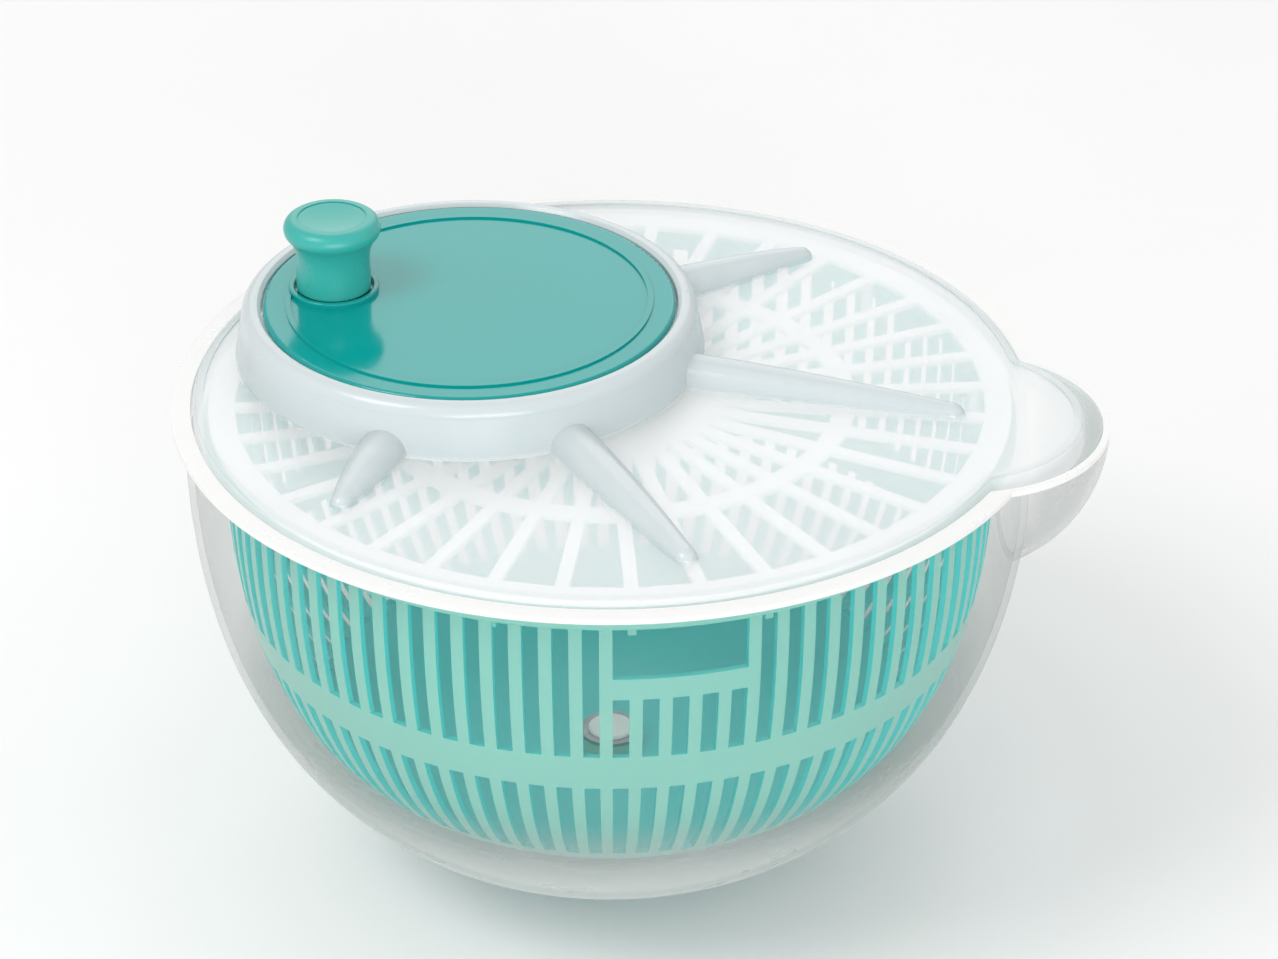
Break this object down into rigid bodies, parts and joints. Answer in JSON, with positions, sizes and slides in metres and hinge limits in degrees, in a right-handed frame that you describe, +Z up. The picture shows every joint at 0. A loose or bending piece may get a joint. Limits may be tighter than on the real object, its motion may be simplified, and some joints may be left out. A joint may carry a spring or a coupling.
{
  "type": "salad spinner",
  "caption": "Round salad spinner: frosted bowl with a pouring spout, slotted basket on a pivot, and a vented lid whose crank disc spins the basket through gears.",
  "frame": {"origin": "on the bowl's axis, in the plane it stands on", "axes": "+Z up along the axis the basket spins on, +X towards the pouring spout"},
  "size_m": [0.2784, 0.26, 0.1896],
  "materials": {
    "frosted_bowl": "frosted, see-through",
    "frosted_lid": "frosted, see-through, semi-gloss",
    "frosted_cover": "milky white, see-through",
    "teal_basket": "turquoise, see-through, moulded",
    "teal_disc": "turquoise, fine satin",
    "teal_knob": "turquoise, satin",
    "white_plastic": "moulded, satin",
    "acetal": "smooth, waxy",
    "axle_steel": "turned",
    "spring_steel": "oiled spring steel",
    "screw_steel": "zinc plated"
  },
  "bodies": {
    "bowl": {"bowl": "frosted_bowl", "spout": "frosted_bowl"},
    "pivot": {"pivot_bush": "acetal", "bush_clip": "spring_steel"},
    "basket": {"basket": "teal_basket"},
    "lid": {"lid": "frosted_lid", "gear_plate": "white_plastic", "gear_plate_screws": "screw_steel", "crank_bush": "acetal", "pinion_bush": "acetal"},
    "crank": {"crank_disc": "teal_disc", "crank_gear": "acetal", "crank_gear_screws": "screw_steel", "crank_axle": "axle_steel", "crank_clip": "spring_steel", "knob_pin": "axle_steel", "knob_washer": "acetal"},
    "knob": {"knob": "teal_knob", "knob_cap": "teal_knob"},
    "drive": {"drive_pinion": "acetal", "pinion_clip": "spring_steel", "basket_cover": "frosted_cover", "cover_pegs": "frosted_cover", "cover_screw": "screw_steel"}
  },
  "joints": [
    {"name": "basket_lift", "type": "slide", "parent": "bowl", "child": "pivot", "axis": [0, 0, 1], "range_m": [0, 0.13]},
    {"name": "basket_spin", "type": "hinge", "parent": "pivot", "child": "basket", "pos_m": [0, 0, 0.025], "axis": [0, 0, 1], "continuous": true},
    {"name": "lid_lift", "type": "slide", "parent": "pivot", "child": "lid", "axis": [0, 0, 1], "range_m": [0, 0.038]},
    {"name": "crank_spin", "type": "hinge", "parent": "lid", "child": "crank", "pos_m": [-0.0459, 0.01854, 0.156], "axis": [0, 0, 1], "continuous": true},
    {"name": "knob_spin", "type": "hinge", "parent": "crank", "child": "knob", "pos_m": [-0.0874, 0.01854, 0.175], "axis": [0, 0, 1], "continuous": true},
    {"name": "drive_spin", "type": "hinge", "parent": "lid", "child": "drive", "pos_m": [0, 0, 0.15], "axis": [0, 0, 1], "continuous": true}
  ],
  "couplings": [
    {"joint": "drive_spin", "follows": "crank_spin", "ratio": -4.5},
    {"joint": "basket_spin", "follows": "crank_spin", "ratio": -4.5}
  ]
}
